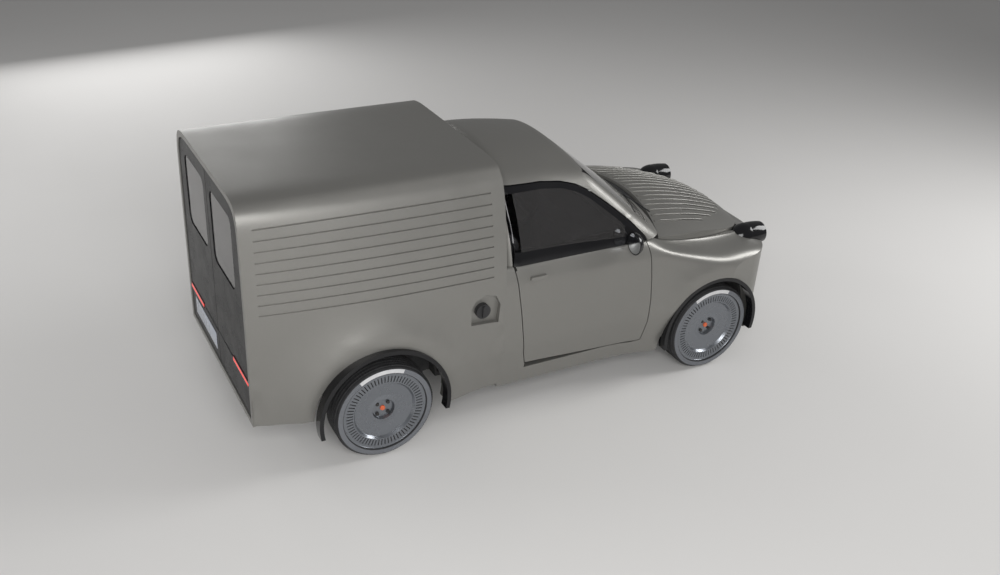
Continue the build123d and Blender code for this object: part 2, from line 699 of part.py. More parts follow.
def make_wheels():
    tyre_half = tyre_width / 2
    tread = [(tyre_radius, -tyre_half + 14), (tyre_radius, tyre_half - 20), (tyre_radius - 16, tyre_half - 2),
             (rim_radius, tyre_half - 6), (rim_radius, -tyre_half)]
    face = tyre_half - 14
    back = bearer_face + gap + 2 - wheel_centre_y
    floor = stub_end + 6 - wheel_centre_y
    edge = rim_radius - seat_gap
    rim = [(edge, -tyre_half + 12), (edge, face), (edge - 12, face - 2), (200, face - 2), (188, face - 18),
           (100, face - 28), (72, face - 24), (64, face - 44), (0, face - 44), (0, floor), (hub_bore, floor),
           (hub_bore, back), (hub_radius, back), (hub_radius, face - 66), (204, face - 20),
           (edge - 18, face - 20), (edge - 16, -tyre_half + 12)]
    slots = []
    slot = Solid.make_box(42, 60, 7).moved(Location((206, face - 40, -3.5)))
    for i in range(slot_count):
        slots.append(slot.rotate(Axis.Y, 360 / slot_count * i))
    disc = revolve(make_face(Polyline(*rim, close=True)), Axis.Y) - slots
    tyre = revolve(make_face(Polyline(*tread, close=True)), Axis.Y)
    for name, along in (("front", wheelbase), ("rear", 0)):
        for side_name, sign in (("left", 1), ("right", -1)):
            for piece_name, piece in (("tyre", tyre), ("rim", disc)):
                placed = piece if sign > 0 else mirrored(piece)
                placed = placed.moved(Location((at(along), sign * wheel_centre_y, tyre_radius)))
                write("%s_%s_%s" % (piece_name, name, side_name), placed)


def make_cabin():
    dash = make_face(Polyline((at(1640), 900), (at(1700), 990), (at(1900), 1010), (at(1925), 980),
                              (at(1925), 700), (at(1760), 700), close=True))
    dash = extrude((Plane.XZ * dash).moved(Location((0, 660, 0))), amount=1320, dir=(0, -1, 0))
    ring = Solid.make_torus(178, 15).moved(Location((at(1560), 360, 930), (0, -65, 0)))
    column = Solid.make_cylinder(26, 150, Plane(origin=(at(1558), 360, 931), z_dir=(0.906, 0, -0.423)))
    spoke = Solid.make_cylinder(12, 350, Plane(origin=(at(1560), 185, 930), z_dir=(0, 1, 0)))
    write("dashboard", dash + ring + column + spoke)
    for name, y in (("left", 350), ("right", -350)):
        cushion = slab(1060, 1540, y - 240, y + 240, 480, 610)
        cushion = fillet(cushion.edges(), 40)
        back = Solid.make_box(120, 460, 620).moved(Location((0, -230, 0)))
        back = fillet(back.edges(), 40).moved(Location((at(1040), y, 560), (0, -14, 0)))
        head = fillet(Solid.make_box(80, 250, 150).edges(), 30)
        head = head.moved(Location((at(905), y - 125, 1150)))
        base = slab(1090, 1480, y - 190, y + 190, box_bottom + seat_gap, 480)
        write("seat_" + name, cushion + back + head + base)


def make_trims():
    pieces = []
    for centre, radius in ((0, rear_arch_radius), (front_arch, front_arch_radius)):
        ring = axle_cylinder(centre, arch_z, radius - seat_gap, -872, -806)
        ring = ring - axle_cylinder(centre, arch_z, radius - arch_trim, -900, -700)
        ring = ring & slab(centre - 600, centre + 600, -1000, 0, 250, 1000)
        pieces += both_sides(ring)
    write("arch_trims", *pieces)
    strip = crowned_sheet(16, 26, 1900, 2300) & slab(1900, 2185, -630, 630, screen_base[1] - 90, 1300)
    write("cowl_panel", largest(strip - screen_prism(-0.8) - bonnet_plan(gap + 5)))


os.makedirs("parts", exist_ok=True)
cargo_solid, cargo_space = make_cargo()
make_cab(cargo_solid, cargo_space)
make_underbody(cargo_solid)
make_axles()
make_wheels()
make_cabin()
make_trims()
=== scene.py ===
import json
import math

import bmesh
import bpy
from mathutils import Matrix, Vector
from mathutils.bvhtree import BVHTree


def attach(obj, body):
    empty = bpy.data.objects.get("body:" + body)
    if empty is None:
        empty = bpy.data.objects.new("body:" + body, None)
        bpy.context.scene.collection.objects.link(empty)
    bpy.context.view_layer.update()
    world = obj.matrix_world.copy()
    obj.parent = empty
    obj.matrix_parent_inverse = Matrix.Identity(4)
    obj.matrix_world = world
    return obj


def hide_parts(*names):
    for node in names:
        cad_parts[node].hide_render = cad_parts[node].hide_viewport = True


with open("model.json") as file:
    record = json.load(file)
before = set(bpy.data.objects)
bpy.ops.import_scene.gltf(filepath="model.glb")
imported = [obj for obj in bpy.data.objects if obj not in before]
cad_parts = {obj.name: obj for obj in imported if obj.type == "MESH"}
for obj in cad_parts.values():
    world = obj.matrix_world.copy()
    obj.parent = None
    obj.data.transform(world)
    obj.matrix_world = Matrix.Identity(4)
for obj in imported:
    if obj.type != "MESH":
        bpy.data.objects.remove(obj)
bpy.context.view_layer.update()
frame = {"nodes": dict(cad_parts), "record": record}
scene = bpy.context.scene
nodes = frame["nodes"]
print("van frame loaded")

# Places that several pieces share, in metres
van = {
    "rearAxle": -1.1675,
    "frontAxle": 1.2925,
    "wheelSide": 0.757,
    "wheelRadius": 0.32,
    "rearFace": -1.9325,
}


# ---- finishes ----
def newFinish(name):
    finish = bpy.data.materials.new(name)
    finish.use_nodes = True
    tree = finish.node_tree
    shader = tree.nodes["Principled BSDF"]
    coords = tree.nodes.new("ShaderNodeTexCoord")
    return finish, tree, shader, coords.outputs["Object"]


def addNode(tree, kind, inputs=None, **settings):
    node = tree.nodes.new(kind)
    for key, value in settings.items():
        setattr(node, key, value)
    for key, value in (inputs or {}).items():
        if isinstance(value, bpy.types.NodeSocket):
            tree.links.new(value, node.inputs[key])
        else:
            node.inputs[key].default_value = value
    return node


def noise(tree, coords, scale, detail=3.0):
    inputs = {"Vector": coords, "Scale": scale, "Detail": detail}
    return addNode(tree, "ShaderNodeTexNoise", inputs).outputs["Fac"]


def spread(tree, value, low, high):
    inputs = {"Value": value, "From Min": 0.3, "From Max": 0.7, "To Min": low, "To Max": high}
    return addNode(tree, "ShaderNodeMapRange", inputs).outputs["Result"]


def blendColors(tree, factor, colorA, colorB):
    mix = addNode(tree, "ShaderNodeMix", data_type="RGBA")
    tree.links.new(factor, mix.inputs[0])
    for socket, value in ((mix.inputs[6], colorA), (mix.inputs[7], colorB)):
        if isinstance(value, bpy.types.NodeSocket):
            tree.links.new(value, socket)
        else:
            socket.default_value = (*value, 1)
    return mix.outputs[2]


def addBump(tree, shader, height, distance, strength=1.0):
    bump = addNode(tree, "ShaderNodeBump", {"Height": height, "Distance": distance, "Strength": strength})
    tree.links.new(bump.outputs["Normal"], shader.inputs["Normal"])


def surfaceFinish(name, look):
    # colour that drifts over the surface, roughness in patches and a fine grain
    finish, tree, shader, coords = newFinish(name)
    drift = spread(tree, noise(tree, coords, look["driftScale"]), 0, 1)
    tree.links.new(blendColors(tree, drift, look["color"], look["colorB"]), shader.inputs["Base Color"])
    rough = noise(tree, coords, look["roughScale"])
    tree.links.new(spread(tree, rough, look["rough"][0], look["rough"][1]), shader.inputs["Roughness"])
    addBump(tree, shader, noise(tree, coords, look["grainScale"], 2.0), look["grainDepth"])
    for socket, value in look.get("sockets", {}).items():
        shader.inputs[socket].default_value = value
    return finish


looks = {
    "bodyPaint": {
        "color": (0.225, 0.220, 0.205), "colorB": (0.255, 0.250, 0.234), "driftScale": 700,
        "rough": (0.38, 0.44), "roughScale": 5, "grainScale": 1500, "grainDepth": 0.00006,
        "sockets": {"Metallic": 0.6, "Coat Weight": 0.12, "Coat Roughness": 0.24},
    },
    "glossBlack": {
        "color": (0.006, 0.006, 0.007), "colorB": (0.010, 0.010, 0.011), "driftScale": 3,
        "rough": (0.07, 0.13), "roughScale": 9, "grainScale": 60, "grainDepth": 0.00005,
        "sockets": {"Specular IOR Level": 0.35, "Coat Weight": 0.12, "Coat Roughness": 0.04},
    },
    "rearPanel": {
        "color": (0.006, 0.006, 0.007), "colorB": (0.010, 0.010, 0.011), "driftScale": 3,
        "rough": (0.22, 0.30), "roughScale": 9, "grainScale": 60, "grainDepth": 0.00003,
        "sockets": {"Specular IOR Level": 0.06},
    },
    "blackPlastic": {
        "color": (0.016, 0.016, 0.017), "colorB": (0.024, 0.024, 0.025), "driftScale": 14,
        "rough": (0.45, 0.62), "roughScale": 30, "grainScale": 900, "grainDepth": 0.0004,
    },
    "underCoat": {
        "color": (0.018, 0.018, 0.019), "colorB": (0.034, 0.033, 0.032), "driftScale": 6,
        "rough": (0.6, 0.85), "roughScale": 18, "grainScale": 420, "grainDepth": 0.0009,
    },
    "castMetal": {
        "color": (0.24, 0.245, 0.25), "colorB": (0.17, 0.17, 0.175), "driftScale": 9,
        "rough": (0.42, 0.6), "roughScale": 25, "grainScale": 650, "grainDepth": 0.0006,
        "sockets": {"Metallic": 0.85},
    },
    "axleSteel": {
        "color": (0.035, 0.035, 0.038), "colorB": (0.060, 0.056, 0.052), "driftScale": 12,
        "rough": (0.4, 0.62), "roughScale": 30, "grainScale": 500, "grainDepth": 0.0004,
        "sockets": {"Metallic": 0.6},
    },
    "dashPlastic": {
        "color": (0.022, 0.022, 0.025), "colorB": (0.034, 0.034, 0.037), "driftScale": 8,
        "rough": (0.5, 0.66), "roughScale": 40, "grainScale": 1100, "grainDepth": 0.0005,
    },
    "wheelAlloy": {
        "color": (0.205, 0.218, 0.240), "colorB": (0.245, 0.258, 0.280), "driftScale": 500,
        "rough": (0.24, 0.32), "roughScale": 12, "grainScale": 1200, "grainDepth": 0.00008,
        "sockets": {"Metallic": 0.85, "Coat Weight": 0.2, "Coat Roughness": 0.2},
    },
    "tyreRubber": {
        "color": (0.014, 0.014, 0.015), "colorB": (0.026, 0.026, 0.027), "driftScale": 16,
        "rough": (0.62, 0.84), "roughScale": 35, "grainScale": 800, "grainDepth": 0.0005,
    },
    "labelWhite": {
        "color": (0.62, 0.62, 0.62), "colorB": (0.54, 0.54, 0.55), "driftScale": 22,
        "rough": (0.5, 0.7), "roughScale": 40, "grainScale": 700, "grainDepth": 0.0002,
    },
    "plateWhite": {
        "color": (0.52, 0.55, 0.60), "colorB": (0.46, 0.49, 0.55), "driftScale": 5,
        "rough": (0.25, 0.38), "roughScale": 20, "grainScale": 900, "grainDepth": 0.0001,
    },
    "capOrange": {
        "color": (0.72, 0.14, 0.05), "colorB": (0.55, 0.11, 0.04), "driftScale": 60,
        "rough": (0.3, 0.45), "roughScale": 60, "grainScale": 900, "grainDepth": 0.0001,
    },
    "mirrorGlass": {
        "color": (0.55, 0.57, 0.60), "colorB": (0.50, 0.52, 0.55), "driftScale": 4,
        "rough": (0.02, 0.05), "roughScale": 10, "grainScale": 40, "grainDepth": 0.00001,
        "sockets": {"Metallic": 1.0},
    },
    "lampChrome": {
        "color": (0.66, 0.68, 0.70), "colorB": (0.56, 0.58, 0.60), "driftScale": 30,
        "rough": (0.08, 0.16), "roughScale": 40, "grainScale": 300, "grainDepth": 0.00003,
        "sockets": {"Metallic": 1.0},
    },
}
finishes = {name: surfaceFinish(name, look) for name, look in looks.items()}


def glassFinish(name, tint, dusty):
    finish, tree, shader, coords = newFinish(name)
    film = spread(tree, noise(tree, coords, 5), 0, 1)
    tree.links.new(blendColors(tree, film, tint, [part * 0.86 for part in tint]), shader.inputs["Base Color"])
    rough = spread(tree, noise(tree, coords, 12), 0.01, dusty)
    tree.links.new(rough, shader.inputs["Roughness"])
    shader.inputs["Transmission Weight"].default_value = 0.92
    shader.inputs["IOR"].default_value = 1.46
    return finish


def litRedFinish():
    # one bright line of small lamps along the middle of a dark red lens
    finish, tree, shader, coords = newFinish("litRed")
    rows = addNode(tree, "ShaderNodeTexWave", {"Vector": coords, "Scale": 26, "Distortion": 0.0},
                   wave_type="BANDS", bands_direction="Y")
    glow = spread(tree, rows.outputs["Fac"], 0.7, 1.0)
    parts = addNode(tree, "ShaderNodeSeparateXYZ", {"Vector": coords})
    away = addNode(tree, "ShaderNodeMath", {0: parts.outputs["Z"], 1: 0.603}, operation="SUBTRACT")
    reach = addNode(tree, "ShaderNodeMath", {0: away.outputs[0]}, operation="ABSOLUTE")
    guide = addNode(tree, "ShaderNodeMapRange", {
        "Value": reach.outputs[0], "From Min": 0.008, "From Max": 0.011, "To Min": 1.0, "To Max": 0.0})
    level = addNode(tree, "ShaderNodeMath", {0: glow, 1: guide.outputs["Result"]}, operation="MULTIPLY")
    color = blendColors(tree, level.outputs[0], (0.030, 0.002, 0.002), (0.85, 0.030, 0.020))
    tree.links.new(color, shader.inputs["Base Color"])
    tree.links.new(color, shader.inputs["Emission Color"])
    shader.inputs["Emission Strength"].default_value = 0.9
    shader.inputs["Roughness"].default_value = 0.2
    return finish


def wovenFinish():
    finish, tree, shader, coords = newFinish("wovenCloth")
    over = addNode(tree, "ShaderNodeTexWave", {"Vector": coords, "Scale": 190, "Distortion": 0.4},
                   wave_type="BANDS", bands_direction="Z")
    across = addNode(tree, "ShaderNodeTexWave", {"Vector": coords, "Scale": 190, "Distortion": 0.4},
                     wave_type="BANDS", bands_direction="Y")
    weave = addNode(tree, "ShaderNodeMath", {0: over.outputs["Fac"], 1: across.outputs["Fac"]},
                    operation="MAXIMUM").outputs[0]
    color = blendColors(tree, weave, (0.020, 0.021, 0.024), (0.055, 0.056, 0.062))
    worn = spread(tree, noise(tree, coords, 7), 0, 0.5)
    tree.links.new(blendColors(tree, worn, color, (0.036, 0.036, 0.040)), shader.inputs["Base Color"])
    shader.inputs["Roughness"].default_value = 0.88
    shader.inputs["Sheen Weight"].default_value = 0.25
    addBump(tree, shader, weave, 0.0006)
    return finish


def ribbedRubber(name, centreX):
    # fine ribs that run out from the wheel's centre, on the pale ring of the sidewall
    finish, tree, shader, coords = newFinish(name)
    shift = addNode(tree, "ShaderNodeMapping", {"Vector": coords, "Location": (-centreX, 0, -van["wheelRadius"])})
    parts = addNode(tree, "ShaderNodeSeparateXYZ", {"Vector": shift.outputs["Vector"]})
    turn = addNode(tree, "ShaderNodeMath", {0: parts.outputs["Z"], 1: parts.outputs["X"]}, operation="ARCTAN2")
    count = addNode(tree, "ShaderNodeMath", {0: turn.outputs[0], 1: 210.0}, operation="MULTIPLY")
    ribs = addNode(tree, "ShaderNodeMath", {0: count.outputs[0]}, operation="SINE").outputs[0]
    tone = addNode(tree, "ShaderNodeMapRange", {"Value": ribs, "From Min": -1.0, "From Max": 1.0}).outputs["Result"]
    color = blendColors(tree, tone, (0.085, 0.090, 0.100), (0.205, 0.215, 0.235))
    worn = spread(tree, noise(tree, coords, 18), 0, 0.5)
    tree.links.new(blendColors(tree, worn, color, (0.115, 0.120, 0.130)), shader.inputs["Base Color"])
    shader.inputs["Roughness"].default_value = 0.55
    addBump(tree, shader, tone, 0.0012)
    return finish


finishes["tintedGlass"] = glassFinish("tintedGlass", (0.30, 0.29, 0.29), 0.05)
finishes["lampGlass"] = glassFinish("lampGlass", (0.86, 0.88, 0.90), 0.04)
finishes["litRed"] = litRedFinish()
finishes["wovenCloth"] = wovenFinish()
finishes["ribsFront"] = ribbedRubber("ribsFront", van["frontAxle"])
finishes["ribsRear"] = ribbedRubber("ribsRear", van["rearAxle"])

slotFinish = {
    "body_paint": "bodyPaint",
    "gloss_black": "glossBlack",
    "black_plastic": "blackPlastic",
    "glass": "tintedGlass",
    "lamp_glass": "lampGlass",
    "lamp_red": "litRed",
    "underbody": "underCoat",
    "drive_casing": "castMetal",
    "steel": "axleSteel",
    "dash_plastic": "dashPlastic",
    "seat_fabric": "wovenCloth",
    "tyre": "tyreRubber",
    "rim": "wheelAlloy",
}
nodeFinish = {"rear_door_left": "rearPanel", "rear_door_right": "rearPanel"}
for part in frame["record"]["subparts"]:
    mesh = nodes[part["node"]].data
    mesh.materials.clear()
    mesh.materials.append(finishes[nodeFinish.get(part["node"], slotFinish[part["material_slot"]])])
print("finishes on the solids")


# ---- helpers for pieces ----
def addPiece(name, bm, body, finish, sharp=32):
    bmesh.ops.remove_doubles(bm, verts=bm.verts, dist=0.00001)
    bmesh.ops.recalc_face_normals(bm, faces=bm.faces)
    mesh = bpy.data.meshes.new(name)
    bm.to_mesh(mesh)
    bm.free()
    mesh.materials.append(finishes[finish])
    mesh.shade_smooth()
    mesh.set_sharp_from_angle(angle=math.radians(sharp))
    piece = bpy.data.objects.new(name, mesh)
    scene.collection.objects.link(piece)
    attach(piece, body)
    return piece


def ringOf(bm, points, steps, centre, angle=2 * math.pi, start=0.0, closed=True):
    # turns a cross-section (radius, offset across) about the wheel's axle
    corners = [bm.verts.new((centre[0] + radius * math.cos(start), centre[1] + across,
                             centre[2] + radius * math.sin(start))) for radius, across in points]
    edges = [bm.edges.new((a, b)) for a, b in zip(corners, corners[1:])]
    if closed:
        edges.append(bm.edges.new((corners[-1], corners[0])))
    whole = abs(angle - 2 * math.pi) < 0.001
    bmesh.ops.spin(bm, geom=corners + edges, cent=centre, axis=(0, -1, 0), dvec=(0, 0, 0), angle=angle,
                   steps=steps, use_merge=whole, use_normal_flip=False, use_duplicate=False)


def roundedBlock(bm, size, centre, radius, segments=3, turn=None):
    made = bmesh.ops.create_cube(bm, size=1)["verts"]
    bmesh.ops.scale(bm, verts=made, vec=size)
    edges = list({edge for vert in made for edge in vert.link_edges})
    bevelled = bmesh.ops.bevel(bm, geom=edges, offset=radius, segments=segments, profile=0.5,
                               affect="EDGES", material=-1, offset_type="OFFSET", clamp_overlap=True)
    verts = list({vert for face in bevelled["faces"] for vert in face.verts})
    island = set(verts)
    queue = list(verts)
    while queue:
        for edge in queue.pop().link_edges:
            for vert in edge.verts:
                if vert not in island:
                    island.add(vert)
                    queue.append(vert)
    verts = list(island)
    if turn is not None:
        bmesh.ops.rotate(bm, verts=verts, cent=(0, 0, 0), matrix=turn)
    bmesh.ops.translate(bm, verts=verts, vec=centre)
    return verts


surfaces = {}


def surfaceOf(nodeName):
    if nodeName not in surfaces:
        mesh = nodes[nodeName].data
        surfaces[nodeName] = BVHTree.FromPolygons([vert.co.copy() for vert in mesh.vertices],
                                                  [list(face.vertices) for face in mesh.polygons])
    return surfaces[nodeName]


def topSurface(nodeName, x, y):
    # highest point of a node above one spot on the ground
    return surfaceOf(nodeName).ray_cast(Vector((x, y, 3)), Vector((0, 0, -1)))[0]


def sideSurface(nodeName, x, z, sign):
    # outermost point of a node on one side of the van
    return surfaceOf(nodeName).ray_cast(Vector((x, sign * 2, z)), Vector((0, -sign, 0)))[0]


# ---- tyres ----
tyre = {
    "steps": 108,
    "treadBase": 0.3135,
    "treadRows": [-0.068, -0.042, -0.036, -0.013, -0.007, 0.016, 0.022, 0.045, 0.051, 0.070],
    "grooveRadius": 0.308,
    "blockInset": 0.0016,
    "blockRise": 0.0060,
    "outer": [(0.3125, 0.0760), (0.3100, 0.0815), (0.3070, 0.0860), (0.3045, 0.0885), (0.3025, 0.0892),
              (0.2730, 0.0890), (0.2710, 0.0872), (0.2690, 0.0862)],
    "inner": [(0.2690, -0.0880), (0.276, -0.0900), (0.290, -0.0915), (0.300, -0.0890), (0.308, -0.0800)],
    "ribbedRing": (0.2730, 0.3025),
}


def treadProfile():
    # flat rows with a groove between each pair
    points = []
    rows = tyre["treadRows"]
    for index in range(0, len(rows), 2):
        points += [(tyre["treadBase"], rows[index]), (tyre["treadBase"], rows[index + 1])]
        if index + 2 < len(rows):
            points += [(tyre["grooveRadius"], rows[index + 1] + 0.001), (tyre["grooveRadius"], rows[index + 2] - 0.001)]
    return points


def buildTyre(name, axleX, sign, body):
    bm = bmesh.new()
    centre = (axleX, sign * van["wheelSide"], van["wheelRadius"])
    profile = treadProfile() + tyre["outer"] + tyre["inner"]
    ringOf(bm, [(radius, across * sign) for radius, across in profile], tyre["steps"], centre)
    bmesh.ops.remove_doubles(bm, verts=bm.verts, dist=0.00001)
    bmesh.ops.recalc_face_normals(bm, faces=bm.faces)

    def radiusOf(face):
        middle = face.calc_center_median()
        return math.hypot(middle.x - centre[0], middle.z - centre[2])

    tread = [face for face in bm.faces if radiusOf(face) > tyre["treadBase"] - 0.001
             and abs(face.normal.y) < 0.1]
    bmesh.ops.inset_individual(bm, faces=tread, thickness=tyre["blockInset"], depth=tyre["blockRise"],
                               use_even_offset=True)
    low, high = tyre["ribbedRing"]
    for face in bm.faces:
        if low < radiusOf(face) < high and face.normal.y * sign > 0.9:
            face.material_index = 1
    piece = addPiece(name, bm, body, "tyreRubber", sharp=24)
    piece.data.materials.append(finishes["ribsFront" if axleX > 0 else "ribsRear"])
    return piece


# ---- wheel fittings ----
wheelFittings = {
    "lip": [(0.2615, 0.0755), (0.2640, 0.0785), (0.2672, 0.0790), (0.2676, 0.0760), (0.2676, 0.0720), (0.2615, 0.0720)],
    "boltCircle": 0.049,
    "boltRadius": 0.0125,
    "boltHigh": 0.012,
    "bowlFloor": 0.034,
    "capRadius": 0.017,
    "capHigh": 0.009,
    "label": [(0.2750, 0.0888), (0.3010, 0.0888), (0.3010, 0.0899), (0.2750, 0.0899)],
    "labelAngle": 1.0,
    "labelStart": 1.15,
    # thin ring just behind the rim's slots, dark to paint the shade inside the wheel
    "shadeSheet": [(0.203, 0.0685), (0.2505, 0.0685), (0.2505, 0.0695), (0.203, 0.0695)],
}


def wheelDisc(bm, radius, high, segments, place, sign):
    # short round or six-sided post that points out of the wheel
    made = bmesh.ops.create_cone(bm, cap_ends=True, segments=segments, radius1=radius, radius2=radius * 0.9,
                                 depth=high)["verts"]
    bmesh.ops.rotate(bm, verts=made, cent=(0, 0, 0), matrix=Matrix.Rotation(-sign * math.pi / 2, 3, "X"))
    bmesh.ops.translate(bm, verts=made, vec=place)
    return made


def buildWheelFittings(name, axleX, sign, body):
    centre = Vector((axleX, sign * van["wheelSide"], van["wheelRadius"]))
    bm = bmesh.new()
    ringOf(bm, [(radius, across * sign) for radius, across in wheelFittings["lip"]], 96, centre)
    addPiece("rimLip_" + name, bm, body, "wheelAlloy")
    # thin dark ring just behind the rim's slots: painted shade of the wheel's inside seen through them
    bm = bmesh.new()
    ringOf(bm, [(radius, across * sign) for radius, across in wheelFittings["shadeSheet"]], 72, centre)
    addPiece("slotShade_" + name, bm, body, "underCoat")
    bm = bmesh.new()
    for index in range(4):
        turn = math.pi / 4 + math.pi / 2 * index
        across = wheelFittings["bowlFloor"] + wheelFittings["boltHigh"] / 2
        place = centre + Vector((wheelFittings["boltCircle"] * math.cos(turn), sign * across,
                                 wheelFittings["boltCircle"] * math.sin(turn)))
        made = wheelDisc(bm, wheelFittings["boltRadius"], wheelFittings["boltHigh"], 6, place, sign)
        edges = list({edge for vert in made for edge in vert.link_edges})
        bmesh.ops.bevel(bm, geom=edges, offset=0.0012, segments=2, profile=0.5, affect="EDGES", material=-1)
    addPiece("wheelBolts_" + name, bm, body, "axleSteel")
    bm = bmesh.new()
    across = wheelFittings["bowlFloor"] + wheelFittings["capHigh"] / 2
    made = wheelDisc(bm, wheelFittings["capRadius"], wheelFittings["capHigh"], 40,
                     centre + Vector((0, sign * across, 0)), sign)
    edges = [edge for edge in bm.edges if abs(edge.verts[0].co.y - edge.verts[1].co.y) < 0.0001]
    bmesh.ops.bevel(bm, geom=edges, offset=0.0018, segments=3, profile=0.5, affect="EDGES", material=-1)
    addPiece("centreCap_" + name, bm, body, "capOrange")
    bm = bmesh.new()
    ringOf(bm, [(radius, across * sign) for radius, across in wheelFittings["label"]], 30, centre,
           angle=wheelFittings["labelAngle"], start=wheelFittings["labelStart"])
    bmesh.ops.holes_fill(bm, edges=bm.edges, sides=0)
    addPiece("sidewallPatch_" + name, bm, body, "labelWhite")


for end, axleX in (("front", van["frontAxle"]), ("rear", van["rearAxle"])):
    for side, sign in (("left", 1), ("right", -1)):
        wheelName = end + "_" + side
        rubber = buildTyre("tyreTread_" + wheelName, axleX, sign, "wheel_" + wheelName)
        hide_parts("tyre_" + wheelName)
        buildWheelFittings(wheelName, axleX, sign, "wheel_" + wheelName)
print("wheels dressed")


# ---- seats ----
seat = {
    "side": 0.35,
    "cushion": {"size": (0.48, 0.47, 0.13), "centre": (0.1325, 0.545), "bevel": 0.045},
    "back": {"size": (0.12, 0.45, 0.60), "centre": (-0.130, 0.870), "bevel": 0.045, "lean": -14},
    "head": {"size": (0.085, 0.25, 0.15), "centre": (-0.2225, 1.225), "bevel": 0.035, "lean": -8},
    "crown": 0.012,
    "seamDepth": 0.006,
    "base": {"size": (0.38, 0.36, 0.14), "centre": (0.1175, 0.41)},
}


def paddedBlock(part, y, seamAxis):
    # crowned block with two sewn channels along its length
    bm = bmesh.new()
    roundedBlock(bm, part["size"], (0, 0, 0), part["bevel"], 4)
    edges = [edge for edge in bm.edges if edge.calc_length() > 0.04]
    bmesh.ops.subdivide_edges(bm, edges=edges, cuts=11, use_grid_fill=True)
    size = Vector(part["size"])
    thin = min(range(3), key=lambda axis: size[axis])
    for vert in bm.verts:
        reach = [2 * abs(vert.co[axis]) / size[axis] for axis in range(3)]
        others = [axis for axis in range(3) if axis != thin]
        swell = (1 - min(reach[others[0]], 1) ** 2) * (1 - min(reach[others[1]], 1) ** 2)
        channel = math.exp(-((abs(vert.co[seamAxis]) - size[seamAxis] * 0.27) / 0.009) ** 2)
        push = seat["crown"] * (swell - 1) - seat["seamDepth"] * channel * (1 if reach[thin] > 0.7 else 0)
        vert.co[thin] += push if vert.co[thin] > 0 else -push
    bmesh.ops.rotate(bm, verts=bm.verts, cent=(0, 0, 0),
                     matrix=Matrix.Rotation(math.radians(part.get("lean", 0)), 3, "Y"))
    bmesh.ops.translate(bm, verts=bm.verts, vec=(part["centre"][0], y, part["centre"][1]))
    mesh = bpy.data.meshes.new("padBlock")
    bm.to_mesh(mesh)
    bm.free()
    return mesh


for side, sign in (("left", 1), ("right", -1)):
    bm = bmesh.new()
    for key in ("cushion", "back", "head"):
        block = paddedBlock(seat[key], sign * seat["side"], 1)
        bm.from_mesh(block)
        bpy.data.meshes.remove(block)
    pads = addPiece("seatPads_" + side, bm, "body", "wovenCloth", sharp=60)
    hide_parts("seat_" + side)
    bm = bmesh.new()
    base = seat["base"]
    roundedBlock(bm, base["size"], (base["centre"][0], sign * seat["side"], base["centre"][1]), 0.015)
    addPiece("seatPlinth_" + side, bm, "body", "dashPlastic")
print("seats padded")


# ---- rear doors ----
rearFittings = {
    "plate": {"size": (0.003, 0.50, 0.115), "side": 0.312, "height": 0.492, "proud": 0.0015},
    "joiner": {"size": (0.0024, 0.325, 0.010), "side": 0.168, "height": 0.603},
    "leafFace": van["rearFace"] + 0.005,
    "sill": {"size": (0.010, 1.18, 0.012), "height": 0.352},
}
for side, sign in (("left", 1), ("right", -1)):
    body = "rear_door_" + side
    line = rearFittings["joiner"]
    bm = bmesh.new()
    roundedBlock(bm, line["size"], (rearFittings["leafFace"] - line["size"][0] / 2, sign * line["side"],
                                    line["height"]), 0.0008, 2)
    addPiece("lampJoiner_" + side, bm, body, "blackPlastic")
plate = rearFittings["plate"]
bm = bmesh.new()
roundedBlock(bm, plate["size"], (rearFittings["leafFace"] - plate["proud"], plate["side"], plate["height"]),
             0.0012, 2)
addPiece("blankPlate", bm, "rear_door_left", "plateWhite")
print("rear doors dressed")


# ---- door mirrors and wiper ----
mirrorGlass = {"x": 0.5340, "y": 0.843, "z": 1.128, "wide": 0.067, "high": 0.067, "thick": 0.0016}
for side, sign in (("left", 1), ("right", -1)):
    bm = bmesh.new()
    made = bmesh.ops.create_cone(bm, cap_ends=True, segments=48, radius1=1, radius2=0.96,
                                 depth=mirrorGlass["thick"])["verts"]
    bmesh.ops.scale(bm, verts=made, vec=(mirrorGlass["high"], mirrorGlass["wide"], 1))
    bmesh.ops.rotate(bm, verts=made, cent=(0, 0, 0), matrix=Matrix.Rotation(-math.pi / 2, 3, "Y"))
    bmesh.ops.translate(bm, verts=made, vec=(mirrorGlass["x"], sign * mirrorGlass["y"], mirrorGlass["z"]))
    addPiece("mirrorFace_" + side, bm, "door_" + side, "mirrorGlass")

wiper = {"bladeLong": 0.46, "bladeThick": 0.009, "armLong": 0.40, "out": 0.012}
bm = bmesh.new()
screenLean = Matrix.Rotation(math.radians(37.3), 3, "Y")
for y in (-0.36,):
    place = Vector((2.092 - 1.1675 - 0.3 * y * y - 0.035, y, 1.127 + 0.035 + wiper["out"]))
    swing = Matrix.Rotation(math.radians(-7), 3, "Z")
    roundedBlock(bm, (wiper["bladeThick"], wiper["bladeLong"], wiper["bladeThick"]), place, 0.003, 2,
                 turn=screenLean @ swing)
addPiece("wiperBlades", bm, "body", "blackPlastic")
print("small fittings placed")


# ---- bonnet ridges ----
ridge = {
    "count": 17, "pitch": 0.062, "back": 0.985, "width": 0.011, "high": 0.0055, "rise": 0.004, "steps": 40,
    "smoothing": 12,
    # half width of the bonnet and how far forward its ridges run there
    "ends": [(0.0, 1.80), (0.204, 1.757), (0.301, 1.674), (0.373, 1.600), (0.460, 1.457), (0.545, 1.269)],
}


def ridgeEnd(across):
    ends = ridge["ends"]
    for (nearA, endA), (nearB, endB) in zip(ends, ends[1:]):
        if across <= nearB:
            return endA + (endB - endA) * (across - nearA) / (nearB - nearA)
    return ends[-1][1]


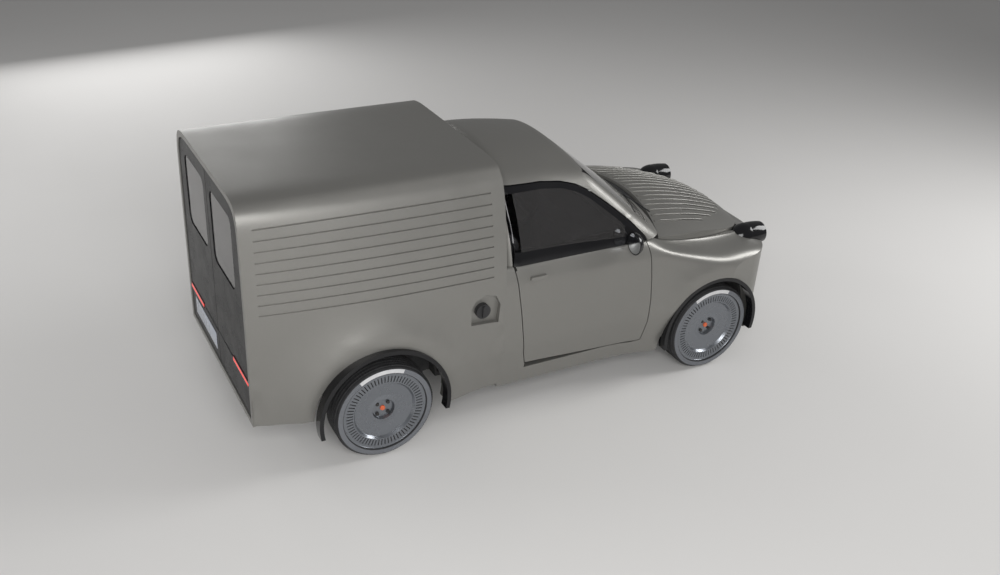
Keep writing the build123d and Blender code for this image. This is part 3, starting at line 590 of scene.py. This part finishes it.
def bonnetTop(x, y):
    spot = topSurface("bonnet", x, y)
    beside = [topSurface("bonnet", x, y + step * ridge["pitch"] / 2) for step in (-1, 1)]
    levels = [place.z for place in beside if place is not None]
    if spot is None or not levels:
        return None
    return max(spot.z, sum(levels) / len(levels) + ridge["rise"])


def addBead(bm, path, width, high):
    # half-round bead whose ends sink into the panel
    first = path[0]
    corners = [bm.verts.new(first + Vector((0, width / 2 * math.cos(math.pi * step / 6),
                                            high * math.sin(math.pi * step / 6)))) for step in range(7)]
    edges = [bm.edges.new(pair) for pair in zip(corners, corners[1:])]
    bmesh.ops.translate(bm, verts=corners, vec=(0, 0, -high))
    for index, (here, there) in enumerate(zip(path, path[1:])):
        made = bmesh.ops.extrude_edge_only(bm, edges=edges)["geom"]
        corners = [item for item in made if isinstance(item, bmesh.types.BMVert)]
        edges = [item for item in made if isinstance(item, bmesh.types.BMEdge)]
        sink = high if index == 0 else -high if index == len(path) - 2 else 0
        bmesh.ops.translate(bm, verts=corners, vec=there - here + Vector((0, 0, sink)))


bm = bmesh.new()
for index in range(ridge["count"]):
    y = (index - (ridge["count"] - 1) / 2) * ridge["pitch"]
    end = ridgeEnd(abs(y))
    spots = []
    for step in range(ridge["steps"] + 1):
        x = ridge["back"] + (end - ridge["back"]) * step / ridge["steps"]
        level = bonnetTop(x, y)
        if level is not None:
            spots.append(Vector((x, y, level)))
    for _ in range(ridge["smoothing"]):
        levels = [(before.z + 2 * spot.z + after.z) / 4 for before, spot, after in zip(spots, spots[1:], spots[2:])]
        for spot, level in zip(spots[1:], levels):
            spot.z = level
    addBead(bm, spots, ridge["width"], ridge["high"])
addPiece("bonnetBeads", bm, "bonnet", "bodyPaint", sharp=50)
print("bonnet ridged")


# ---- lamps ----
lamp = {
    "x": 1.7305, "side": 0.575, "height": 0.852,
    "ring": [(0.058, 0.1165), (0.064, 0.1165), (0.064, 0.1195), (0.058, 0.1185)],
    "bowl": [(0.010, 0.1165), (0.036, 0.1165), (0.036, 0.1225), (0.028, 0.1185), (0.010, 0.1175)],
}
for side, sign in (("left", 1), ("right", -1)):
    bm = bmesh.new()
    for part in ("ring", "bowl"):
        ringOf(bm, [(radius, along) for radius, along in lamp[part]], 64, (0, 0, 0))
    bmesh.ops.rotate(bm, verts=bm.verts, cent=(0, 0, 0), matrix=Matrix.Rotation(-math.pi / 2, 3, "Z"))
    bmesh.ops.translate(bm, verts=bm.verts, vec=(lamp["x"], sign * lamp["side"], lamp["height"]))
    addPiece("lampRings_" + side, bm, "body", "lampChrome")
print("lamps dressed")


# ---- studio ----
studio = {
    "floorSize": 120,
    "floorColor": (0.70, 0.69, 0.675),
    "worldColor": (0.74, 0.74, 0.745),
    "worldLight": 0.28,
    "camera": {"place": (-3.1710, -5.5970, 4.0697), "azimuth": -29.986, "elevation": 29.067, "roll": 3.539,
               "lens": 37.654},
    "lamps": [
        {"place": (-3.0, -7.5, 4.6), "size": 4.5, "power": 520},
        {"place": (7.0, -2.0, 4.4), "size": 3.0, "power": 260},
        {"place": (-6.5, 4.0, 3.4), "size": 4.0, "power": 130},
        {"place": (-1.0, 7.5, 2.6), "size": 4.0, "power": 110},
    ],
}
floorFinish = surfaceFinish("studioFloor", {
    "color": studio["floorColor"], "colorB": tuple(part * 0.985 for part in studio["floorColor"]),
    "driftScale": 0.6, "rough": (0.8, 0.9), "roughScale": 2, "grainScale": 300, "grainDepth": 0.0002,
})
bm = bmesh.new()
bmesh.ops.create_grid(bm, x_segments=1, y_segments=1, size=studio["floorSize"] / 2)
floorMesh = bpy.data.meshes.new("studioFloor")
bm.to_mesh(floorMesh)
bm.free()
floorMesh.materials.append(floorFinish)
floor = bpy.data.objects.new("studioFloor", floorMesh)
scene.collection.objects.link(floor)

world = bpy.data.worlds.new("studioSky")
world.use_nodes = True
scene.world = world
sky = world.node_tree.nodes["Background"]
sky.inputs["Color"].default_value = (*studio["worldColor"], 1)
rays = world.node_tree.nodes.new("ShaderNodeLightPath")
level = addNode(world.node_tree, "ShaderNodeMapRange", {
    "Value": rays.outputs["Is Camera Ray"], "To Min": studio["worldLight"], "To Max": 1.0})
world.node_tree.links.new(level.outputs["Result"], sky.inputs["Strength"])

for index, lampSpec in enumerate(studio["lamps"]):
    light = bpy.data.lights.new("softLamp%d" % index, "AREA")
    light.shape = "SQUARE"
    light.size = lampSpec["size"]
    light.energy = lampSpec["power"]
    lightObject = bpy.data.objects.new(light.name, light)
    lightObject.location = lampSpec["place"]
    aim = Vector((0, 0, 0.7)) - lightObject.location
    lightObject.rotation_euler = aim.to_track_quat("-Z", "Y").to_euler()
    scene.collection.objects.link(lightObject)


def placeCamera(spec):
    turn, rise, roll = (math.radians(spec[key]) for key in ("azimuth", "elevation", "roll"))
    back = Vector((math.sin(turn) * math.cos(rise), -math.cos(turn) * math.cos(rise), math.sin(rise)))
    right = Vector((math.cos(turn), math.sin(turn), 0))
    up = back.cross(right)
    rolledRight = math.cos(roll) * right + math.sin(roll) * up
    rolledUp = -math.sin(roll) * right + math.cos(roll) * up
    data = bpy.data.cameras.new("photoCamera")
    data.sensor_width = 36
    data.lens = spec["lens"]
    data.clip_end = 200
    camera = bpy.data.objects.new("photoCamera", data)
    columns = Matrix((rolledRight, rolledUp, back)).transposed()
    camera.matrix_world = Matrix.Translation(spec["place"]) @ columns.to_4x4()
    scene.collection.objects.link(camera)
    scene.camera = camera


placeCamera(studio["camera"])
scene.view_settings.view_transform = "Standard"
print("studio ready")
